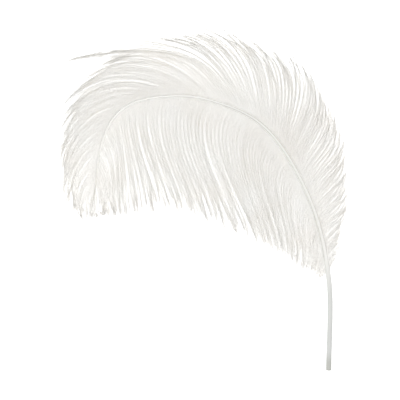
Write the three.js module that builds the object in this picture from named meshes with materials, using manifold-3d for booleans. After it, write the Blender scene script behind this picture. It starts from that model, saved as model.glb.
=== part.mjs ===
// One white ostrich feather, lying on its side on a flat surface. Millimetres, +Z up.
//
// The feather grew as one piece, so it is one solid: a bare quill that runs on as a tapering
// shaft, arched like a crook, and two vanes whose long soft barbs hang together in locks.
// The outer vane sweeps along the outside of the arch, and the inner vane hangs inside it.
// The locks lift off the shaft, arch over and come down on the surface with their tips.
import * as THREE from "three";
import { mergeVertices } from "three/addons/utils/BufferGeometryUtils.js";
import Module from "manifold-3d";

const wasm = await Module();
wasm.setup();

// ---- Driving dimensions ----

// The middle of the feather's footprint, measured from the cut end of the quill.
// It is the origin of the part.
const FOOTPRINT_CENTRE = [-91.6, 121.2];

// The shaft's route from the cut end of the quill to its tip: across, along and height.
const SHAFT_ROUTE = [
  [0, 0, 1.6],
  [0, 64, 3.2],
  [-13, 120, 8],
  [-44, 171, 12],
  [-84, 191.5, 13.4],
  [-120, 194, 12.6],
  [-147, 185, 10.6],
  [-161, 162, 8],
  [-167, 122, 4.6],
];
const SHAFT_STEPS = 44;
const SHAFT_SIDES = 8;

// Half the shaft's width, and its height as a share of its width, at shares of its length.
const SHAFT_RADIUS = [
  [0, 1.9],
  [0.17, 1.8],
  [0.5, 1.2],
  [0.85, 0.6],
  [1, 0.35],
];
const SHAFT_FLATNESS = 0.88;

// The bare quill's length, up to the first lock.
const QUILL_LENGTH = 70;

const LOCKS_PER_VANE = 32;
const LOCK_STEPS = 7;
const LOCK_SIDES = 4;

// Each vane, at eleven equal steps from its first lock to the shaft's tip:
//   tips     where the locks end, measured from the cut end of the quill
//   ends     the heading of a lock's tip, in degrees from +X
//   leaves   the angle at which a lock leaves the shaft, in degrees
// and turn says which side of the shaft the vane grows on: 1 is the left, going up the shaft.
// Locks are numbered from firstNumber, and each one's number sets how it differs.
const OUTER_VANE = {
  turn: -1,
  firstNumber: 1,
  tips: [
    [5, 80], [13, 121], [9, 169], [-18, 217], [-78, 242], [-148, 230],
    [-187, 193], [-190, 158], [-188, 127], [-178, 111], [-166, 109],
  ],
  ends: [60, 76, 98, 124, 156, 196, 232, 262, 272, 290, 335],
  leaves: [36, 36, 38, 40, 40, 38, 36, 32, 32, 32, 28],
};
const INNER_VANE = {
  turn: 1,
  firstNumber: 101,
  tips: [
    [-5, 65], [-11, 71], [-19, 74], [-28, 80], [-38, 87], [-55, 95],
    [-86, 108], [-115, 119], [-147, 111], [-156, 112], [-163, 110],
  ],
  ends: [240, 250, 262, 272, 280, 286, 286, 284, 272, 274, 290],
  leaves: [110, 105, 98, 88, 78, 70, 64, 62, 58, 48, 34],
};

// A lock's bow: how far it keeps its first and its last heading, as shares of its span.
const FIRST_REACH = 0.34;
const LAST_REACH = 0.4;

// How far a lock rises from the shaft before it comes down, and the height of its tip.
const LOCK_RISE = 11;
const LOCK_DIP = -2.5;
const TIP_HEIGHT = 0.7;

// A lock's width as a share of its place in the vane, and half its thickness, along its length.
const LOCK_FULLNESS = [
  [0, 1.1],
  [0.3, 1.1],
  [0.55, 0.95],
  [0.8, 0.72],
  [1, 0.16],
];
const LOCK_HALF_THICKNESS = [
  [0, 1.6],
  [0.3, 3],
  [0.6, 2.8],
  [0.85, 1.6],
  [1, 0.45],
];
const LEAST_HALF_WIDTH = 0.7;

// How much the locks differ: in length, sideways at the tip, and in height.
const LENGTH_SPREAD = 0.07;
const SIDE_SPREAD = 2.2;
const HEIGHT_SPREAD = 2;

// Corners closer than this to a flat face or a straight edge are left out of the solid.
const SMALLEST_DETAIL = 0.05;

// ---- Helpers ----

// A number from -1 to 1 that is always the same for the same two whole numbers.
function scatter(index, kind) {
  const wave = Math.sin(index * 12.9898 + kind * 78.233) * 43758.5453;
  return 2 * (wave - Math.floor(wave)) - 1;
}

// The value of a table of [place, value] pairs at a place between them.
function along(table, place) {
  const last = table.findIndex(([at]) => at >= place);
  if (last <= 0) return table[last < 0 ? table.length - 1 : 0][1];
  const [[from, a], [to, b]] = [table[last - 1], table[last]];
  return THREE.MathUtils.lerp(a, b, THREE.MathUtils.smoothstep(place, from, to));
}

// The value of a list of equal steps, at a share of the list.
function between(list, share) {
  const place = share * (list.length - 1);
  const step = Math.min(Math.floor(place), list.length - 2);
  return THREE.MathUtils.lerp(list[step], list[step + 1], place - step);
}

const heading = (degrees) =>
  new THREE.Vector3(
    Math.cos(THREE.MathUtils.degToRad(degrees)),
    Math.sin(THREE.MathUtils.degToRad(degrees)),
    0,
  );

// A closed solid through stations of {centre, across, up}: an oval ring at each station,
// with across and up as its half axes, and a flat face at each end.
function sweep(stations, sides) {
  const positions = [];
  const index = [];
  for (const { centre, across, up } of stations)
    for (let side = 0; side < sides; side++) {
      const angle = (2 * Math.PI * side) / sides;
      const corner = centre
        .clone()
        .addScaledVector(across, Math.cos(angle))
        .addScaledVector(up, Math.sin(angle));
      positions.push(...corner);
    }
  for (let ring = 0; ring + 1 < stations.length; ring++)
    for (let side = 0; side < sides; side++) {
      const a = ring * sides + side;
      const b = ring * sides + ((side + 1) % sides);
      index.push(a, b, a + sides, b, b + sides, a + sides);
    }
  const end = (stations.length - 1) * sides;
  for (let side = 1; side + 1 < sides; side++) {
    index.push(0, side + 1, side);
    index.push(end, end + side, end + side + 1);
  }
  return new THREE.BufferGeometry()
    .setAttribute("position", new THREE.Float32BufferAttribute(positions, 3))
    .setIndex(index);
}

// A closed geometry as a solid that can be joined and cut.
function solidOf(geometry) {
  const bare = geometry.clone();
  bare.deleteAttribute("normal");
  bare.deleteAttribute("uv");
  const merged = mergeVertices(bare, 1e-4);
  return new wasm.Manifold(
    new wasm.Mesh({
      numProp: 3,
      vertProperties: new Float32Array(merged.attributes.position.array),
      triVerts: new Uint32Array(merged.index.array),
    }),
  );
}

function geometryOf(solid) {
  const { numProp, vertProperties, triVerts } = solid.getMesh();
  const positions = new Float32Array((vertProperties.length / numProp) * 3);
  for (let i = 0; i < positions.length / 3; i++)
    positions.set(vertProperties.subarray(i * numProp, i * numProp + 3), i * 3);
  const geometry = new THREE.BufferGeometry()
    .setAttribute("position", new THREE.BufferAttribute(positions, 3))
    .setIndex(new THREE.BufferAttribute(triVerts, 1));
  geometry.computeVertexNormals();
  return geometry;
}

// ---- The shaft ----

const shaftLine = new THREE.CatmullRomCurve3(
  SHAFT_ROUTE.map((point) => new THREE.Vector3(...point)),
  false,
  "catmullrom",
  0.5,
);
shaftLine.arcLengthDivisions = 800;
const SHAFT_LENGTH = shaftLine.getLength();
const VANE_START = QUILL_LENGTH / SHAFT_LENGTH;

// Level, and square to a heading, on its left.
const leftOf = (direction) =>
  new THREE.Vector3(-direction.y, direction.x, 0).normalize();

function shaftGeometry() {
  const stations = [];
  for (let step = 0; step <= SHAFT_STEPS; step++) {
    const share = step / SHAFT_STEPS;
    const direction = shaftLine.getTangentAt(share);
    const radius = along(SHAFT_RADIUS, share);
    const left = leftOf(direction);
    stations.push({
      centre: shaftLine.getPointAt(share),
      across: left.clone().multiplyScalar(radius),
      up: direction.clone().cross(left).multiplyScalar(radius * SHAFT_FLATNESS),
    });
  }
  return sweep(stations, SHAFT_SIDES);
}

// ---- The locks ----

// The middle line of a lock that grows at a share of the vane's length.
function lockLine(vane, share, number) {
  const onShaft = THREE.MathUtils.lerp(VANE_START, 1, share);
  const root = shaftLine.getPointAt(onShaft);
  const direction = shaftLine.getTangentAt(onShaft);
  const upShaft = THREE.MathUtils.radToDeg(Math.atan2(direction.y, direction.x));
  const first = heading(upShaft + vane.turn * between(vane.leaves, share));
  const last = heading(between(vane.ends, share));
  const tip = new THREE.Vector3(
    between(vane.tips.map(([x]) => x), share),
    between(vane.tips.map(([, y]) => y), share),
    root.z,
  );
  const reach = tip.distanceTo(root);
  tip.lerp(root, LENGTH_SPREAD * scatter(number, 1));
  tip.addScaledVector(leftOf(last), SIDE_SPREAD * scatter(number, 2));
  tip.z = TIP_HEIGHT;
  const lift = HEIGHT_SPREAD * scatter(number, 3);
  const rising = root.clone().addScaledVector(first, reach * FIRST_REACH);
  rising.z = root.z + LOCK_RISE + lift;
  const falling = tip.clone().addScaledVector(last, -reach * LAST_REACH);
  falling.z = LOCK_DIP + lift;
  return new THREE.CubicBezierCurve3(root, rising, falling, tip);
}

function lockGeometry(vane, index) {
  const number = vane.firstNumber + index;
  const half = 0.5 / LOCKS_PER_VANE;
  const share = (index + 0.5) / LOCKS_PER_VANE;
  const line = lockLine(vane, share, number);
  const before = lockLine(vane, share - half, number);
  const after = lockLine(vane, share + half, number);
  const stations = [];
  for (let step = 0; step <= LOCK_STEPS; step++) {
    const place = step / LOCK_STEPS;
    const across = leftOf(line.getTangent(place));
    const room = after.getPoint(place).sub(before.getPoint(place));
    const width = 0.5 * Math.abs(room.dot(across)) * along(LOCK_FULLNESS, place);
    stations.push({
      centre: line.getPoint(place),
      across: across.multiplyScalar(Math.max(width, LEAST_HALF_WIDTH)),
      up: new THREE.Vector3(0, 0, along(LOCK_HALF_THICKNESS, place)),
    });
  }
  return sweep(stations, LOCK_SIDES);
}

// ---- The feather: shaft and locks joined, and pressed flat where it lies ----

function featherSolid() {
  const pieces = [solidOf(shaftGeometry())];
  for (const vane of [OUTER_VANE, INNER_VANE])
    for (let index = 0; index < LOCKS_PER_VANE; index++)
      pieces.push(solidOf(lockGeometry(vane, index)));
  const rested = wasm.Manifold.union(pieces).trimByPlane([0, 0, 1], 0);
  // The outer skin alone, so that no pocket of air is shut in between the locks.
  const skins = rested.simplify(SMALLEST_DETAIL).decompose();
  return skins.sort((a, b) => b.volume() - a.volume())[0];
}

const feather = new THREE.Mesh(
  geometryOf(featherSolid()),
  new THREE.MeshStandardMaterial({ color: 0xf2f0eb, roughness: 0.8, metalness: 0 }),
);
feather.name = "feather";
feather.position.set(-FOOTPRINT_CENTRE[0], -FOOTPRINT_CENTRE[1], 0);

const group = new THREE.Group();
group.add(feather);

export default group;
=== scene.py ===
import math

import bpy
import numpy as np
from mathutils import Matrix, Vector


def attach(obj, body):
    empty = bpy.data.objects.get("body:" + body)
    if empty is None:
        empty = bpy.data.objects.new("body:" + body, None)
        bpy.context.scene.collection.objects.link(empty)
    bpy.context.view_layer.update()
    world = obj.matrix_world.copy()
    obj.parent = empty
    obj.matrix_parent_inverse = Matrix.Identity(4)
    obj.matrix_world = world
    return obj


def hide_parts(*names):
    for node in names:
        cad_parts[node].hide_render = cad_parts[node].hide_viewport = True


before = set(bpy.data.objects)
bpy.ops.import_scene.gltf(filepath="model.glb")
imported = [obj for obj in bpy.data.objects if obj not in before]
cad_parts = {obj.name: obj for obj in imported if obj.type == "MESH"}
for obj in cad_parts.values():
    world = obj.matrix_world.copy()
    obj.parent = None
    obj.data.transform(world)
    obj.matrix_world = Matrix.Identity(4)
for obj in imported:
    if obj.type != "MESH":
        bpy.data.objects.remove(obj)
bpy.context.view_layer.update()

MM = 0.001

# ---- The feather's form, in millimetres from the cut end of the quill, as in the solid ----

FOOTPRINT_CENTRE = np.array([-91.6, 121.2, 0.0])

SHAFT_ROUTE = [
    (0, 0, 1.6),
    (0, 64, 3.2),
    (-13, 120, 8),
    (-44, 171, 12),
    (-84, 191.5, 13.4),
    (-120, 194, 12.6),
    (-147, 185, 10.6),
    (-161, 162, 8),
    (-167, 122, 4.6),
]
SHAFT_RADIUS = ((0, 0.17, 0.5, 0.85, 1), (1.9, 1.8, 1.2, 0.6, 0.35))
SHAFT_FLATNESS = 0.88
QUILL_LENGTH = 70

LOCKS_PER_VANE = 32

# Each vane has the solid's own numbers:
#   turn               the side of the shaft it grows on: 1 is the left, going up the shaft
#   first_number       the number of its first lock, which sets how the locks differ
#   tips               where barbs end, at eleven equal steps from its first barb to the tip
#   ends               the heading of their tips at those steps, in degrees from +X
#   leaves             the angle at which they leave the shaft there, in degrees
# and numbers for the barbs:
#   seed               what its random numbers start from
#   strands_per_lock   how many strands gather in a lock
#   barbs_per_strand   how many barbs gather in a strand
#   barbs_there        the share of its barbs that is there, along the vane
#   lock_hold          how closely strands draw together in their lock, at most, along the vane
#   strand_hold        how closely barbs draw together in a strand along the vane: least and most
#   wisp               the strands that run out into one long wisp, and by how many millimetres
#   barbules_per_area  how many barbules there are on a square millimetre, along the vane
#   barbule_size       its barbules' length, width and angle, as shares of the usual ones
OUTER_VANE = dict(
    turn=-1,
    first_number=1,
    seed=11,
    strands_per_lock=5,
    barbs_per_strand=2,
    barbs_there=((0, 0.2, 1), (0.8, 1, 1)),
    lock_hold=((0, 0.5, 0.7, 0.94, 1), (0.15, 0.15, 0.2, 0.2, 0)),
    strand_hold=(
        (0, 0.35, 0.55, 0.94, 1),
        (0.45, 0.45, 0.7, 0.6, 0.2),
        (0.7, 0.7, 0.92, 0.85, 0.5),
    ),
    wisp={74: 6, 75: 11, 76: 17, 77: 23, 78: 28, 79: 32, 80: 36, 81: 34},
    # There are fewer where barbs end close to the wisp.
    barbules_per_area=(
        (0, 0.12, 0.3, 0.49, 0.52, 0.545, 0.65, 0.8, 0.9, 0.96, 1),
        (6.0, 7.2, 9.4, 9.3, 6.2, 9.2, 9.2, 7.8, 5.5, 5.5, 7.0),
    ),
    barbule_size=(0.8, 1.3, 0.78),
    tips=[
        (5, 80), (13, 121), (9, 169), (-18, 217), (-78, 242), (-148, 230),
        (-187, 193), (-190, 158), (-188, 127), (-178, 111), (-166, 109),
    ],
    ends=[60, 76, 98, 124, 156, 196, 232, 262, 272, 290, 335],
    leaves=[36, 36, 38, 40, 40, 38, 36, 32, 32, 32, 28],
)
INNER_VANE = dict(
    turn=1,
    first_number=101,
    seed=12,
    strands_per_lock=3,
    barbs_per_strand=3,
    barbs_there=((0, 0.22, 0.83, 0.88, 0.97, 1), (0.8, 1, 1, 0.78, 0.78, 1)),
    lock_hold=((0, 0.7, 0.8, 0.94, 1), (0.15, 0.15, 0.3, 0.3, 0)),
    strand_hold=(
        (0, 0.6, 0.85, 0.94, 1),
        (0.4, 0.4, 0.5, 0.4, 0.1),
        (0.82, 0.82, 0.9, 0.8, 0.4),
    ),
    wisp={},
    barbules_per_area=(
        (0, 0.12, 0.35, 0.65, 0.8, 0.88, 0.96, 1),
        (5.5, 6.5, 9.0, 9.2, 7.8, 6.3, 6.0, 5.0),
    ),
    barbule_size=(1, 1, 1),
    tips=[
        (-5, 65), (-11, 71), (-19, 74), (-28, 80), (-38, 87), (-55, 95),
        (-86, 108), (-115, 119), (-147, 111), (-156, 112), (-163, 110),
    ],
    ends=[240, 250, 262, 272, 280, 286, 286, 284, 272, 274, 290],
    leaves=[110, 105, 98, 88, 78, 70, 64, 62, 58, 48, 34],
)

# A guide's bow: how far it keeps its first and its last heading, as shares of its span.
FIRST_REACH = 0.34
LAST_REACH = 0.4
# How far it rises from the shaft before it comes down, and the height of its tip.
LOCK_RISE = 11
LOCK_DIP = -2.5
TIP_HEIGHT = 0.7
# Barbs shorter than this rise less, in step with their length, but at least by this share.
FULL_REACH = 40
LEAST_RISE = 0.2
# From this share of the vane on, barbs turn onward, and end closer to straight ahead of their
# roots: by this share at the shaft's tip.
TIP_FROM = 0.94
TIP_ONWARD = 0.8
# How much the locks differ: in length, sideways at the tip, and in height.
LENGTH_SPREAD = 0.07
SIDE_SPREAD = 2.2
HEIGHT_SPREAD = 2

# ---- The barbs ----

BARB_STEPS = 17
BARB_SIDES = 3
# A barb's radius at its root and at its tip.
BARB_RADIUS = (0.15, 0.05)
# Where a barb's points lie along it, from its root (0) to its tip (1).
PLACES = np.linspace(0, 1, BARB_STEPS + 1)
# The least height of a barb's middle line, and of a barbule's tip.
BARB_HEIGHT = 0.3
BARBULE_HEIGHT = 0.15

# Each lock holds its strands by a share of its vane's hold, within this range. They draw
# together over this stretch of their length.
LOCK_HOLD_RANGE = (0.3, 1)
LOCK_GATHER = (0, 0.4)

# The barbs of a strand start to gather near the shaft, within this range, and have gathered
# this much further on. From this place on they part again, by this share at their tips.
GATHER_START = (0.0, 0.15)
GATHER_LENGTH = 0.22
PART_FROM = 0.5
PART_SHARE = 0.8

# How closely the strands of the wisp draw together, how far it slopes aside from its middle
# strand's end, and where the strands draw together and stretch.
WISP_HOLD = 0.7
WISP_ASIDE = 0.07
WISP_GATHER = (0.3, 0.95)
WISP_STRETCH = (0.4, 1)

# How much the strands and the barbs differ: in length, sideways at the tip, and in height.
# The scatter of each is drawn from whole numbers that start here.
STRAND_SPREADS = (0.05, 0.4, 1.6)
BARB_SPREADS = (0.06, 0.6, 1.4)
FIRST_STRAND = 1000
FIRST_BARB = 3000

# How far the ends curl aside along a vane, a strand's and a barb's, and from which place on.
STRAND_CURL = ((0, 0.12, 0.75, 0.88, 0.96, 1), (1.6, 0.7, 0.7, 3.2, 2.0, 0.8))
BARB_CURL = ((0, 0.12, 0.75, 0.88, 0.96, 1), (2.2, 0.8, 0.8, 3.2, 3.0, 2.2))
CURL_START = 0.65

# How barbs wave: how far aside, by which shares, in how many half turns along their length,
# how far up and down as a share of that, and from which place along them.
WAVE_WIDTH = 0.4
WAVE_SHARES = (0.3, 1.6)
WAVE_TURNS = (2.0, 5.0)
WAVE_RISE = 1.5
WAVE_START = 0.05

# ---- The barbules ----

# How their number on each square millimetre changes along a barb.
BARBULE_DENSITY = ((0, 0.5, 0.8, 1), (1.05, 1.0, 1.0, 1.05))
# How much thicker they stand at the ends of the barbs next to the feather's tip, and over
# which stretches of the vane and of a barb that sets in.
TIP_TUFT = 1.3
TUFT_SHARES = (0.82, 0.9)
TUFT_PLACES = (0.85, 1)
# The room that a barb fills, at least and at most, in millimetres, and how much more it fills
# at least at the end of the wisp. It is measured over this many barbs to each side.
BARB_ROOM = (0.1, 1.6)
WISP_ROOM = 0.95
WISP_PLACES = (0.7, 1)
NEIGHBOURS = 6
# Their length, and their angle from the barb in degrees, along a barb.
BARBULE_LENGTH = ((0, 0.12, 0.5, 0.9, 1), (1.6, 2.6, 2.8, 2.8, 1.8))
BARBULE_ANGLE = ((0, 0.45, 0.75, 1), (46, 34, 28, 26))
# A barbule is a spike: a triangle of feet, whose corners are this far from its root, and a tip.
BARBULE_HALF_WIDTH = 0.054
SPIKE_FEET = 3
SPIKE_FACES = np.array([[0, 1, 3], [1, 2, 3], [2, 0, 3], [0, 2, 1]])
# How far barbules hang below their barb's side, and how far each barb is turned, in degrees.
DROOP = 22
BARB_ROLL = 18
# How much barbules differ: in length, and in angle and roll to each side, in degrees.
LENGTH_SHARES = (0.68, 1.27)
ANGLE_SPREAD = 16
ROLL_SPREAD = 32

# A piece of the scene stays under this many triangles.
MOST_TRIANGLES = 195_000

# ---- The maps of barbs and barbules: along each barb, and one row for each barb ----

# A thread takes this share of its row, from this place in it. Its two ends are this long on
# the map, and this share of a row wide.
ROW_START = 0.1
ROW_SHARE = 0.8
END_LENGTH = 0.01
END_WIDTH = 0.3
# A barbule's points from where it grows: along the map, and across it in rows. Those places
# keep this far from the map's edges.
SPIKE_PATCH = ((-0.0015, 0.0), (0.0015, 0.0), (0.0, 0.3), (0.0004, 0.6))
MAP_MARGIN = 0.01

# ---- Camera, floor and light, in metres and watts ----

VIEW_WIDTH = 0.285
CAMERA_HEIGHT = 1.4
SENSOR_WIDTH = 36
FLOOR_SIZE = 6.0
FLOOR_COLOUR = (0.93, 0.93, 0.93, 1)
FLOOR_ROUGHNESS = 0.9
FLOOR_GLOW = 0.35
WHITE = (1, 1, 1, 1)
SKY_STRENGTH = 0.84
KEY_LIGHT = dict(location=(-0.6, 0.6, 1.4), size=1.2, power=17.5)
FILL_LIGHT = dict(location=(0.7, -0.6, 1.4), size=1.4, power=7)
# White down passes light on many times before it is lost.
LIGHT_BOUNCES = 16


def scatter(number, kind):
    """A number from -1 to 1, always the same for the same two whole numbers."""
    wave = np.sin(np.asarray(number) * 12.9898 + kind * 78.233) * 43758.5453
    return 2 * (wave - np.floor(wave)) - 1


def along(table, place):
    """The value of a table of places and values at places between them."""
    return np.interp(place, table[0], table[1])


def smooth(low, high, value):
    """A soft step from 0 at the low value to 1 at the high one."""
    t = np.clip((value - low) / (high - low), 0, 1)
    return t * t * (3 - 2 * t)


def between(rows, share):
    """The row of a list of equal steps, at each share of the list."""
    rows = np.asarray(rows, float)
    place = np.asarray(share) * (len(rows) - 1)
    step = np.minimum(place.astype(int), len(rows) - 2)
    part = place - step
    if rows.ndim == 2:
        part = part[:, None]
    return rows[step] * (1 - part) + rows[step + 1] * part


def unit(vectors):
    """Vectors with the same directions, and of length one."""
    return vectors / np.linalg.norm(vectors, axis=-1, keepdims=True)


def heading(degrees):
    """Level directions, from their angles to +X."""
    angle = np.radians(degrees)
    return np.stack([np.cos(angle), np.sin(angle), np.zeros_like(angle)], axis=-1)


def left_of(directions):
    """Level, and square to each direction, on its left."""
    flat = directions * (1, 1, 0)
    return unit(np.stack([-flat[..., 1], flat[..., 0], np.zeros_like(flat[..., 0])], axis=-1))


class Shaft:
    """The shaft's middle line: a Catmull-Rom curve through its route, by share of length."""

    SAMPLES = 4000
    # A direction is taken over this much of the route to each side.
    NEARBY = 1e-4

    def __init__(self, route):
        self.route = np.asarray(route, float)
        self.turns = np.linspace(0, 1, self.SAMPLES + 1)
        points = self.curve(self.turns)
        steps = np.linalg.norm(np.diff(points, axis=0), axis=1)
        self.lengths = np.concatenate([[0], np.cumsum(steps)])
        self.length = self.lengths[-1]

    def curve(self, turn):
        """Points at shares of the route, from its first point (0) to its last (1)."""
        route = self.route
        ends = np.vstack([2 * route[0] - route[1], route, 2 * route[-1] - route[-2]])
        place = np.clip(turn, 0, 1) * (len(route) - 1)
        step = np.minimum(place.astype(int), len(route) - 2)
        t = (place - step)[:, None]
        before, start, end, after = (ends[step + k] for k in range(4))
        leaving, arriving = (end - before) / 2, (after - start) / 2
        return (
            start
            + leaving * t
            + (3 * (end - start) - 2 * leaving - arriving) * t**2
            + (2 * (start - end) + leaving + arriving) * t**3
        )

    def at(self, share):
        """Points and directions at shares of the shaft's length."""
        turn = np.interp(np.asarray(share) * self.length, self.lengths, self.turns)
        before = self.curve(np.maximum(turn - self.NEARBY, 0))
        after = self.curve(np.minimum(turn + self.NEARBY, 1))
        return self.curve(turn), unit(after - before)


SHAFT = Shaft(SHAFT_ROUTE)
VANE_START = QUILL_LENGTH / SHAFT.length


def guide_corners(vane, share, number, length_spread, side_spread, height_spread):
    """The four corners of the cubic guide at each share of a vane, varied by number."""
    roots, directions = SHAFT.at(VANE_START + (1 - VANE_START) * share)
    up_shaft = np.degrees(np.arctan2(directions[:, 1], directions[:, 0])) % 360
    onward = TIP_ONWARD * smooth(TIP_FROM, 1, share)
    leaving = between(vane["leaves"], share) * (1 - onward)
    ending = between(vane["ends"], share)
    first = heading(up_shaft + vane["turn"] * leaving)
    last = heading(ending + (up_shaft - ending) * onward)
    tips = np.column_stack([between(vane["tips"], share), roots[:, 2]])
    reach = np.linalg.norm(tips - roots, axis=1)[:, None]
    tips += (roots + directions * reach - tips) * onward[:, None]
    tips += (roots - tips) * (length_spread * scatter(number, 1))[:, None]
    tips += left_of(last) * (side_spread * scatter(number, 2))[:, None]
    tips[:, 2] = TIP_HEIGHT
    lift = height_spread * scatter(number, 3)
    rising = roots + first * reach * FIRST_REACH
    fullness = np.clip(reach[:, 0] / FULL_REACH, LEAST_RISE, 1)
    rising[:, 2] = roots[:, 2] + (LOCK_RISE + lift) * fullness
    falling = tips - last * reach * LAST_REACH
    falling[:, 2] = LOCK_DIP + lift
    return roots, rising, falling, tips


def bend(corners):
    """Points of the cubic guides at each place from root to tip: guides by places by 3."""
    s = PLACES[None, :, None]
    a, b, c, d = (corner[:, None, :] for corner in corners)
    return (1 - s) ** 3 * a + 3 * (1 - s) ** 2 * s * b + 3 * (1 - s) * s**2 * c + s**3 * d


def shares_of(count):
    """The share of a vane's length at the middle of each of a number of equal stretches."""
    return (np.arange(count) + 0.5) / count


def strand_centres(vane, rng):
    """The middle lines of a vane's strands, drawn together in the solid's locks."""
    lock_number = vane["first_number"] + np.arange(LOCKS_PER_VANE)
    lock_spreads = (LENGTH_SPREAD, SIDE_SPREAD, HEIGHT_SPREAD)
    locks = bend(guide_corners(vane, shares_of(LOCKS_PER_VANE), lock_number, *lock_spreads))

    strands = LOCKS_PER_VANE * vane["strands_per_lock"]
    share = shares_of(strands)
    number = FIRST_STRAND + vane["first_number"] + np.arange(strands)
    centres = bend(guide_corners(vane, share, number, *STRAND_SPREADS))
    lock_of = np.arange(strands) // vane["strands_per_lock"]
    hold = along(vane["lock_hold"], share) * rng.uniform(*LOCK_HOLD_RANGE, LOCKS_PER_VANE)[lock_of]
    hold = hold[:, None] * smooth(*LOCK_GATHER, PLACES)
    return centres + (locks[lock_of] - centres) * hold[..., None]


def gather_strands(vane, lines, centres, strand_of, rng):
    """Draw the barbs of each strand together, and let them part again at their tips."""
    strands = len(centres)
    start = rng.uniform(*GATHER_START, (strands, 1))
    shares, least, most = vane["strand_hold"]
    least = np.interp(shares_of(strands), shares, least)
    most = np.interp(shares_of(strands), shares, most)
    hold = (least + (most - least) * rng.uniform(0, 1, strands))[:, None]
    hold = hold * smooth(start, start + GATHER_LENGTH, PLACES[None, :])
    hold *= 1 - PART_SHARE * smooth(PART_FROM, 1, PLACES)
    lines += (centres[strand_of] - lines) * hold[strand_of][..., None]


def draw_out_wisp(vane, lines, centres, strand_of):
    """Stretch a few strands into one wisp that stands out of the outline."""
    wisp = vane["wisp"]
    if not wisp:
        return
    longest = max(wisp, key=wisp.get)
    middle = centres[longest]
    ahead = unit((middle[-1] - middle[-3]) * (1, 1, 0))
    ahead = unit(ahead + WISP_ASIDE * left_of(ahead))
    for strand, reach in wisp.items():
        hold = WISP_HOLD * reach / wisp[longest] * smooth(*WISP_GATHER, PLACES)
        stretch = reach * smooth(*WISP_STRETCH, PLACES)
        shift = (middle - centres[strand]) * hold[:, None] + ahead * stretch[:, None]
        lines[strand_of == strand] += shift


def curl_and_wave(lines, share, strand_of, rng):
    """Curl the ends of barbs aside, and let barbs wave a little along their length."""
    barbs = len(lines)
    side = left_of(np.gradient(lines, axis=1))
    curl = along(STRAND_CURL, share) * rng.uniform(-1, 1, strand_of[-1] + 1)[strand_of]
    curl += along(BARB_CURL, share) * rng.uniform(-1, 1, barbs)
    lines += side * (curl[:, None] * smooth(CURL_START, 1, PLACES) ** 2)[..., None]

    start = rng.uniform(0, 2 * math.pi, (barbs, 2))
    turns = rng.uniform(*WAVE_TURNS, (barbs, 2))
    swing = WAVE_WIDTH * smooth(WAVE_START, 1, PLACES) * rng.uniform(*WAVE_SHARES, (barbs, 1))
    angle = math.pi * PLACES[None, :, None] * turns[:, None, :] + start[:, None, :]
    lines += side * (swing * np.sin(angle[..., 0]))[..., None]
    lines[..., 2] += WAVE_RISE * swing * np.sin(angle[..., 1])
    lines[..., 2] = np.maximum(lines[..., 2], BARB_HEIGHT)


def barb_lines(vane, rng):
    """A vane's barbs: middle lines, barbs by places by 3, share of the vane and least room."""
    centres = strand_centres(vane, rng)
    barbs = len(centres) * vane["barbs_per_strand"]
    strand_of = np.arange(barbs) // vane["barbs_per_strand"]
    share = shares_of(barbs)
    number = FIRST_BARB + vane["first_number"] + np.arange(barbs)
    lines = bend(guide_corners(vane, share, number, *BARB_SPREADS))
    gather_strands(vane, lines, centres, strand_of, rng)
    draw_out_wisp(vane, lines, centres, strand_of)
    curl_and_wave(lines, share, strand_of, rng)

    there = rng.uniform(0, 1, barbs) < along(vane["barbs_there"], share)
    in_wisp = np.isin(strand_of, list(vane["wisp"]))
    least_room = BARB_ROOM[0] + WISP_ROOM * in_wisp[:, None] * smooth(*WISP_PLACES, PLACES)
    return lines[there], share[there], least_room[there]


def frames_of(lines):
    """For each point of each line: its direction, the level side and the upward side."""
    direction = unit(np.gradient(lines, axis=1))
    side = left_of(direction)
    up = np.cross(direction, side)
    return direction, side, up


def mesh_object(name, points, faces, uvs, material, slot):
    """A shown piece from points in millimetres, with a UV corner for each face corner."""
    mesh = bpy.data.meshes.new(name)
    mesh.vertices.add(len(points))
    world = (points.reshape(-1, 3) - FOOTPRINT_CENTRE) * MM
    mesh.vertices.foreach_set("co", world.astype(np.float32).ravel())
    corners = faces.size
    mesh.loops.add(corners)
    mesh.loops.foreach_set("vertex_index", faces.astype(np.int32).ravel())
    mesh.polygons.add(len(faces))
    mesh.polygons.foreach_set("loop_start", np.arange(0, corners, faces.shape[1], dtype=np.int32))
    mesh.update(calc_edges=True)
    mesh.validate()
    layer = mesh.uv_layers.new(name="OFBake")
    layer.data.foreach_set("uv", uvs.astype(np.float32).ravel())
    mesh.polygons.foreach_set("use_smooth", np.ones(len(faces), dtype=bool))
    piece = bpy.data.objects.new(name, mesh)
    bpy.context.scene.collection.objects.link(piece)
    mesh.materials.append(material)
    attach(piece, "root")
    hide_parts("feather")


def tube_faces(first, corner, sides):
    """Two triangles on each side of a tube, after each ring's first point."""
    a = first + corner
    b = first + (corner + 1) % sides
    faces = np.stack([a, b, b + sides, a, b + sides, a + sides], axis=-1)
    return faces.reshape(-1, 3)


def tube_uvs(u0, u1, v0, v1):
    """The map corners of those triangles: u along the tube, and v around it."""
    corners = np.stack([u0, v0, u0, v1, u1, v1, u0, v0, u1, v1, u1, v0], axis=-1)
    return corners.reshape(-1, 2)


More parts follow.
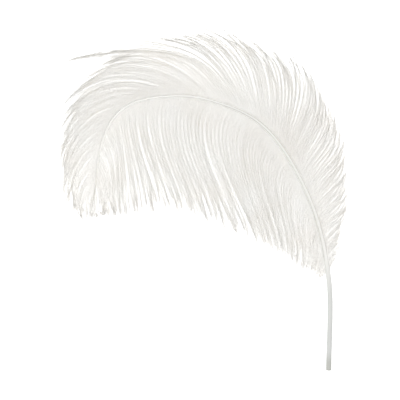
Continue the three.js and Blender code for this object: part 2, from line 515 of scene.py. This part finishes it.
def thread_mesh(lines):
    """Closed tapering threads along lines: points, triangles and their UV corners."""
    count, steps = len(lines), BARB_STEPS + 1
    _, side, up = frames_of(lines)
    radius = BARB_RADIUS[0] + (BARB_RADIUS[1] - BARB_RADIUS[0]) * PLACES
    turn = 2 * math.pi * np.arange(BARB_SIDES) / BARB_SIDES
    ring = (
        side[:, :, None, :] * np.cos(turn)[None, None, :, None]
        + up[:, :, None, :] * np.sin(turn)[None, None, :, None]
    )
    points = lines[:, :, None, :] + ring * radius[None, :, None, None]

    barb, step, corner = np.meshgrid(
        np.arange(count), np.arange(steps - 1), np.arange(BARB_SIDES), indexing="ij"
    )
    sides = tube_faces((barb * steps + step) * BARB_SIDES, corner, BARB_SIDES)
    u0 = step / (steps - 1)
    u1 = (step + 1) / (steps - 1)
    v0 = (barb + ROW_START + ROW_SHARE * corner / BARB_SIDES) / count
    v1 = (barb + ROW_START + ROW_SHARE * (corner + 1) / BARB_SIDES) / count
    side_uvs = tube_uvs(u0, u1, v0, v1)

    # A thread has three sides, so each of its ends is one triangle.
    first = np.arange(count) * steps * BARB_SIDES
    last = first + (steps - 1) * BARB_SIDES
    starts = np.stack([first, first + 2, first + 1], axis=-1)
    ends = np.stack([last, last + 1, last + 2], axis=-1)
    row = np.arange(count) / count
    zero, one = np.zeros(count), np.ones(count)
    width = END_WIDTH / count
    start_uvs = np.stack([zero, row, zero + END_LENGTH, row, zero, row + width], axis=-1)
    end_uvs = np.stack([one, row, one - END_LENGTH, row, one, row + width], axis=-1)
    faces = np.concatenate([sides, starts, ends])
    uvs = np.concatenate([side_uvs, start_uvs.reshape(-1, 2), end_uvs.reshape(-1, 2)])
    return points.reshape(-1, 3), faces, uvs


def barbule_roots(vane, lines, share, least_room, rng):
    """Where barbules grow, evenly over the vane: their barb, step and part of the step."""
    ahead = np.minimum(np.arange(len(lines)) + NEIGHBOURS, len(lines) - 1)
    behind = np.maximum(np.arange(len(lines)) - NEIGHBOURS, 0)
    side = left_of(np.gradient(lines, axis=1))
    room = np.abs(((lines[ahead] - lines[behind]) * side).sum(axis=2))
    room = np.clip(room / (ahead - behind)[:, None], least_room, BARB_ROOM[1])
    room = (room[:, 1:] + room[:, :-1]) / 2
    area = room * np.linalg.norm(np.diff(lines, axis=1), axis=2)
    density = along(vane["barbules_per_area"], share)[:, None]
    place = np.linspace(0, 1, BARB_STEPS)
    density = density * along(BARBULE_DENSITY, place)
    density *= 1 + TIP_TUFT * smooth(*TUFT_SHARES, share)[:, None] * smooth(*TUFT_PLACES, place)
    grown = np.cumsum(area * density)
    count = int(grown[-1])
    at = grown[-1] * (np.arange(count) + rng.uniform(0, 1, count)) / count
    segment = np.minimum(np.searchsorted(grown, at), grown.size - 1)
    start = np.concatenate([[0], grown])[segment]
    part = np.clip((at - start) / (grown[segment] - start), 0, 1)
    barb, step = np.divmod(segment, BARB_STEPS)
    return barb, step, part


def barbule_mesh(lines, roots, size, rng):
    """Two rows of fine spikes along each line: points, triangles and their UV corners."""
    barb, step, part = roots
    length_share, width_share, angle_share = size
    barbs, total = len(lines), len(barb)
    place = (step + part) / BARB_STEPS
    hand = np.where(np.arange(total) % 2 == 0, 1.0, -1.0)

    def sample(field):
        return field[barb, step] * (1 - part[:, None]) + field[barb, step + 1] * part[:, None]

    root, forward, across, above = (sample(field) for field in (lines, *frames_of(lines)))
    roll = BARB_ROLL * rng.uniform(-1, 1, barbs)[barb] * hand
    roll = np.radians(roll + ROLL_SPREAD * rng.uniform(-1, 1, total) - DROOP)
    angle = along(BARBULE_ANGLE, place) + ANGLE_SPREAD * rng.uniform(-1, 1, total)
    angle = angle_share * np.radians(angle)
    outward = across * (hand * np.cos(roll))[:, None] + above * np.sin(roll)[:, None]
    aim = forward * np.cos(angle)[:, None] + outward * np.sin(angle)[:, None]
    length = length_share * along(BARBULE_LENGTH, place) * rng.uniform(*LENGTH_SHARES, total)
    half_width = width_share * BARBULE_HALF_WIDTH
    tip = root + aim * length[:, None]
    tip[:, 2] = np.maximum(tip[:, 2], BARBULE_HEIGHT)
    square = unit(np.cross(aim, above))
    over = np.cross(square, aim)
    turns = 2 * math.pi * np.arange(SPIKE_FEET) / SPIKE_FEET
    feet = [root + (square * math.cos(t) + over * math.sin(t)) * half_width for t in turns]
    points = np.stack([*feet, tip], axis=1)

    faces = (SPIKE_FEET + 1) * np.arange(total)[:, None, None] + SPIKE_FACES
    row = 1 / barbs
    patch = np.array(SPIKE_PATCH) * (1, row)
    on_map = MAP_MARGIN + (1 - 2 * MAP_MARGIN) * place
    centre = np.stack([on_map, (barb + ROW_START) * row], axis=-1)
    uvs = (centre[:, None] + patch)[:, SPIKE_FACES]
    return points.reshape(-1, 3), faces.reshape(-1, 3), uvs.reshape(-1, 2)


def grow_vane(name, vane, material):
    """A vane's barbs as one piece, and its barbules in as many pieces as they need."""
    rng = np.random.default_rng(vane["seed"])
    lines, share, least_room = barb_lines(vane, rng)
    mesh_object(f"{name}_barbs", *thread_mesh(lines), material, "barbs")
    barb, step, part = barbule_roots(vane, lines, share, least_room, rng)
    pieces = math.ceil(len(SPIKE_FACES) * len(barb) / MOST_TRIANGLES)
    for number, chosen in enumerate(np.array_split(np.arange(len(barb)), pieces)):
        roots = barb[chosen], step[chosen], part[chosen]
        piece = barbule_mesh(lines, roots, vane["barbule_size"], rng)
        mesh_object(f"{name}_barbules_{number + 1}", *piece, material, "barbs")


# ---- Materials ----

# The horn's colour along its map, from the bore and the cut end (0) to the shaft's tip (1). From
# 0.8 on it whitens like the down, and it is painted lighter still to lift the shade the thin shaft
# takes between the barbs.
HORN_TONE_AND_PAINTED_LIGHT = (
    (0, (0.45, 0.45, 0.41)),
    (0.035, (0.41, 0.415, 0.39)),
    (0.055, (0.52, 0.53, 0.515)),
    (0.17, (0.55, 0.56, 0.54)),
    (0.24, (0.71, 0.705, 0.675)),
    (0.55, (0.645, 0.64, 0.61)),
    (0.7, (0.69, 0.685, 0.66)),
    # From here to the tip: partly the shaft's own white, partly painted light against the shade
    # among the barbs.
    (0.8, (0.79, 0.785, 0.76)),
    (0.88, (0.91, 0.905, 0.88)),
    (1, (0.985, 0.98, 0.96)),
)
DOWN_COLOURS = (
    (0.3, (0.975, 0.959, 0.929)),
    (0.7, (0.990, 0.986, 0.970)),
)
# The down's tint drifts, and its surface has a fine grain.
DOWN_DRIFT = dict(scale=45, detail=5)
DOWN_GRAIN = dict(scale=6000, detail=2)
DOWN_BUMP = dict(strength=0.3, distance=0.03 * MM)
DOWN_ROUGHNESS = (0.5, 0.75)
DOWN_GLOSS = 0.3
DOWN_SHEEN = 0.15
# The share of its surface that lets light through.
DOWN_THROUGH = 0.4
# The horn's streaks, how they are scaled along the shaft and around it, how much they darken
# the horn, and how they roughen it.
HORN_STREAKS = dict(scale=30, detail=6)
STREAK_STRETCH = (0.6, 1.2, 1)
STREAK_SHARE = 0.25
HORN_BUMP = dict(strength=0.4, distance=0.1 * MM)
HORN_ROUGHNESS = (0.28, 0.5)
# The colour sockets of a Mix node, which come after those for numbers and vectors.
MIX_A, MIX_B, MIX_RESULT = 6, 7, 2


def new_material(name):
    """An empty node material, with its nodes and its links."""
    material = bpy.data.materials.new(name)
    material.use_nodes = True
    material.node_tree.nodes.clear()
    return material, material.node_tree.nodes, material.node_tree.links


def colour_ramp(nodes, colours):
    """A colour ramp through pairs of position and colour."""
    node = nodes.new("ShaderNodeValToRGB")
    ramp = node.color_ramp
    while len(ramp.elements) < len(colours):
        ramp.elements.new(0.5)
    for element, (position, colour) in zip(ramp.elements, colours):
        element.position = position
        element.color = (*colour, 1)
    return node


def add_noise(nodes, links, place, scale, detail):
    """The value of a noise at places."""
    noise = nodes.new("ShaderNodeTexNoise")
    noise.inputs["Scale"].default_value = scale
    noise.inputs["Detail"].default_value = detail
    links.new(place, noise.inputs["Vector"])
    return noise.outputs["Fac"]


def add_bump(nodes, links, height, surface, strength, distance):
    """Bend a surface's normals by a noise's value."""
    bump = nodes.new("ShaderNodeBump")
    bump.inputs["Strength"].default_value = strength
    bump.inputs["Distance"].default_value = distance
    links.new(height, bump.inputs["Height"])
    links.new(bump.outputs["Normal"], surface.inputs["Normal"])


def vary(nodes, links, source, target, low, high):
    """Feed a noise's value into a number's socket, between a low and a high value."""
    spread = nodes.new("ShaderNodeMapRange")
    spread.inputs["To Min"].default_value = low
    spread.inputs["To Max"].default_value = high
    links.new(source, spread.inputs["Value"])
    links.new(spread.outputs["Result"], target)


def barb_material():
    """Soft white down: a matte, finely grained surface that lets some light through."""
    material, nodes, links = new_material("white_down")
    place = nodes.new("ShaderNodeTexCoord").outputs["Object"]
    drift = add_noise(nodes, links, place, **DOWN_DRIFT)
    grain = add_noise(nodes, links, place, **DOWN_GRAIN)
    tint = colour_ramp(nodes, DOWN_COLOURS)
    links.new(drift, tint.inputs["Fac"])
    surface = nodes.new("ShaderNodeBsdfPrincipled")
    surface.inputs["Specular IOR Level"].default_value = DOWN_GLOSS
    surface.inputs["Sheen Weight"].default_value = DOWN_SHEEN
    links.new(tint.outputs["Color"], surface.inputs["Base Color"])
    vary(nodes, links, drift, surface.inputs["Roughness"], *DOWN_ROUGHNESS)
    add_bump(nodes, links, grain, surface, **DOWN_BUMP)
    through = nodes.new("ShaderNodeBsdfTranslucent")
    links.new(tint.outputs["Color"], through.inputs["Color"])
    mix = nodes.new("ShaderNodeMixShader")
    mix.inputs["Fac"].default_value = DOWN_THROUGH
    links.new(surface.outputs["BSDF"], mix.inputs[1])
    links.new(through.outputs["BSDF"], mix.inputs[2])
    output = nodes.new("ShaderNodeOutputMaterial")
    links.new(mix.outputs["Shader"], output.inputs["Surface"])
    return material


def quill_material():
    """Pale horn, greyer towards the cut end and painted lighter at the tip, with fine lengthwise
    streaks.
    """
    material, nodes, links = new_material("pale_horn")
    place = nodes.new("ShaderNodeUVMap")
    place.uv_map = "OFBake"
    split = nodes.new("ShaderNodeSeparateXYZ")
    links.new(place.outputs["UV"], split.inputs["Vector"])
    fade = colour_ramp(nodes, HORN_TONE_AND_PAINTED_LIGHT)
    links.new(split.outputs["X"], fade.inputs["Fac"])
    stretch = nodes.new("ShaderNodeMapping")
    stretch.inputs["Scale"].default_value = STREAK_STRETCH
    links.new(place.outputs["UV"], stretch.inputs["Vector"])
    streaks = add_noise(nodes, links, stretch.outputs["Vector"], **HORN_STREAKS)
    mix = nodes.new("ShaderNodeMix")
    mix.data_type = "RGBA"
    mix.blend_type = "MULTIPLY"
    mix.inputs["Factor"].default_value = STREAK_SHARE
    links.new(fade.outputs["Color"], mix.inputs[MIX_A])
    links.new(streaks, mix.inputs[MIX_B])
    surface = nodes.new("ShaderNodeBsdfPrincipled")
    links.new(mix.outputs[MIX_RESULT], surface.inputs["Base Color"])
    vary(nodes, links, streaks, surface.inputs["Roughness"], *HORN_ROUGHNESS)
    add_bump(nodes, links, streaks, surface, **HORN_BUMP)
    output = nodes.new("ShaderNodeOutputMaterial")
    links.new(surface.outputs["BSDF"], output.inputs["Surface"])
    return material


# ---- The shaft ----

SHAFT_RINGS = 170
SHAFT_SIDES = 18
# The cut end is an open tube: the bore's radius as a share of the quill's, and its depth.
# The cut edge is rounded off over a short length, to this share of the radius.
BORE_SHARE = 0.68
BORE_DEPTH = 6.0
EDGE_SHARE = 0.93
EDGE_LENGTH = 0.2
# The groove along the underside, as a share of the radius, half its width in radians, and the
# shares of the shaft's length between which it sets in.
GROOVE_DEPTH = 0.22
GROOVE_WIDTH = 0.35
GROOVE_START = (0.2, 0.35)
UNDERSIDE = 1.5 * math.pi
# The first three rings are the bore's floor, its mouth and the cut edge. They take the map up
# to the shaft's own start, at these places. The flat ends take a patch next to its two edges.
BORE_PLACES = (0.0, 0.012, 0.018)
SHAFT_MAP_START = 0.02
FLAT_PATCH = ((0.0, 0.4), (0.006, 0.5), (0.006, 0.3))


def shaft_rings():
    """Rings of points from the bore's floor out to the cut end, and along to the tip."""
    bore, edge = BORE_DEPTH / SHAFT.length, EDGE_LENGTH / SHAFT.length
    share = np.concatenate([[bore, 0, 0, edge], np.linspace(0, 1, SHAFT_RINGS + 1)[1:]])
    points, direction = SHAFT.at(share)
    side = left_of(direction)
    up = np.cross(direction, side)
    radius = along(SHAFT_RADIUS, share)
    radius[: len(BORE_PLACES)] *= (BORE_SHARE, BORE_SHARE, EDGE_SHARE)
    turn = 2 * math.pi * np.arange(SHAFT_SIDES) / SHAFT_SIDES
    underside = np.exp(-(((turn - UNDERSIDE) / GROOVE_WIDTH) ** 2))
    groove = 1 - GROOVE_DEPTH * smooth(*GROOVE_START, share)[:, None] * underside
    across = (radius[:, None] * groove * np.cos(turn))[..., None] * side[:, None, :]
    over = (radius[:, None] * SHAFT_FLATNESS * groove * np.sin(turn))[..., None] * up[:, None, :]
    rings = points[:, None, :] + across + over
    rings[..., 2] = np.maximum(rings[..., 2], 0)
    return rings, share, points


def shaft_piece(material):
    """The quill and shaft: a tube through its rings, closed by a fan at the bore and the tip."""
    rings, share, middle = shaft_rings()
    count = len(rings)
    row, corner = np.meshgrid(np.arange(count - 1), np.arange(SHAFT_SIDES), indexing="ij")
    sides = tube_faces(row * SHAFT_SIDES, corner, SHAFT_SIDES)
    along_shaft = SHAFT_MAP_START + (1 - SHAFT_MAP_START) * share[len(BORE_PLACES) :]
    place = np.concatenate([BORE_PLACES, along_shaft])
    v0, v1 = corner / SHAFT_SIDES, (corner + 1) / SHAFT_SIDES
    side_uvs = tube_uvs(place[row], place[row + 1], v0, v1)

    # Each fan's middle point comes after all the rings.
    this = np.arange(SHAFT_SIDES)
    after = (this + 1) % SHAFT_SIDES
    last_ring = (count - 1) * SHAFT_SIDES
    bore_middle = np.full(SHAFT_SIDES, count * SHAFT_SIDES)
    bore_fan = np.stack([bore_middle, after, this], axis=-1)
    tip_fan = np.stack([bore_middle + 1, last_ring + this, last_ring + after], axis=-1)
    fan_uvs = np.tile(FLAT_PATCH, (SHAFT_SIDES, 1))

    points = np.concatenate([rings.reshape(-1, 3), middle[[0, -1]]])
    faces = np.concatenate([sides, bore_fan, tip_fan])
    uvs = np.concatenate([side_uvs, fan_uvs, 1 - fan_uvs])
    mesh_object("quill_and_shaft", points, faces, uvs, material, "quill")


# ---- Camera, floor and lights ----

def add_camera():
    """A camera that looks straight down on the middle of the feather."""
    data = bpy.data.cameras.new("camera")
    data.sensor_width = SENSOR_WIDTH
    data.lens = SENSOR_WIDTH * CAMERA_HEIGHT / VIEW_WIDTH
    camera = bpy.data.objects.new("camera", data)
    camera.location = (0, 0, CAMERA_HEIGHT)
    bpy.context.scene.collection.objects.link(camera)
    bpy.context.scene.camera = camera


def add_floor():
    """A plain pale floor, which glows a little so that it stays even and bright."""
    mesh = bpy.data.meshes.new("floor")
    half = FLOOR_SIZE / 2
    corners = [(-half, -half, 0), (half, -half, 0), (half, half, 0), (-half, half, 0)]
    mesh.from_pydata(corners, [], [(0, 1, 2, 3)])
    floor = bpy.data.objects.new("floor", mesh)
    bpy.context.scene.collection.objects.link(floor)
    material, nodes, links = new_material("pale_floor")
    surface = nodes.new("ShaderNodeBsdfPrincipled")
    surface.inputs["Base Color"].default_value = FLOOR_COLOUR
    surface.inputs["Roughness"].default_value = FLOOR_ROUGHNESS
    surface.inputs["Emission Color"].default_value = WHITE
    surface.inputs["Emission Strength"].default_value = FLOOR_GLOW
    output = nodes.new("ShaderNodeOutputMaterial")
    links.new(surface.outputs["BSDF"], output.inputs["Surface"])
    mesh.materials.append(material)


def add_area_light(name, location, size, power):
    """A soft light, aimed at the middle of the feather."""
    data = bpy.data.lights.new(name, "AREA")
    data.size = size
    data.energy = power
    light = bpy.data.objects.new(name, data)
    light.location = location
    light.rotation_euler = (-Vector(location)).to_track_quat("-Z", "Y").to_euler()
    bpy.context.scene.collection.objects.link(light)


def add_lights():
    """An even white sky, and two soft lights across from each other."""
    world = bpy.data.worlds.new("studio")
    world.use_nodes = True
    sky = world.node_tree.nodes["Background"]
    sky.inputs["Color"].default_value = WHITE
    sky.inputs["Strength"].default_value = SKY_STRENGTH
    bpy.context.scene.world = world
    add_area_light("key", **KEY_LIGHT)
    add_area_light("fill", **FILL_LIGHT)
    scene = bpy.context.scene
    scene.view_settings.view_transform = "Standard"
    scene.cycles.max_bounces = LIGHT_BOUNCES
    scene.cycles.diffuse_bounces = LIGHT_BOUNCES
    scene.cycles.transmission_bounces = LIGHT_BOUNCES


add_camera()
add_floor()
add_lights()

down = barb_material()
shaft_piece(quill_material())
grow_vane("outer", OUTER_VANE, down)
grow_vane("inner", INNER_VANE, down)
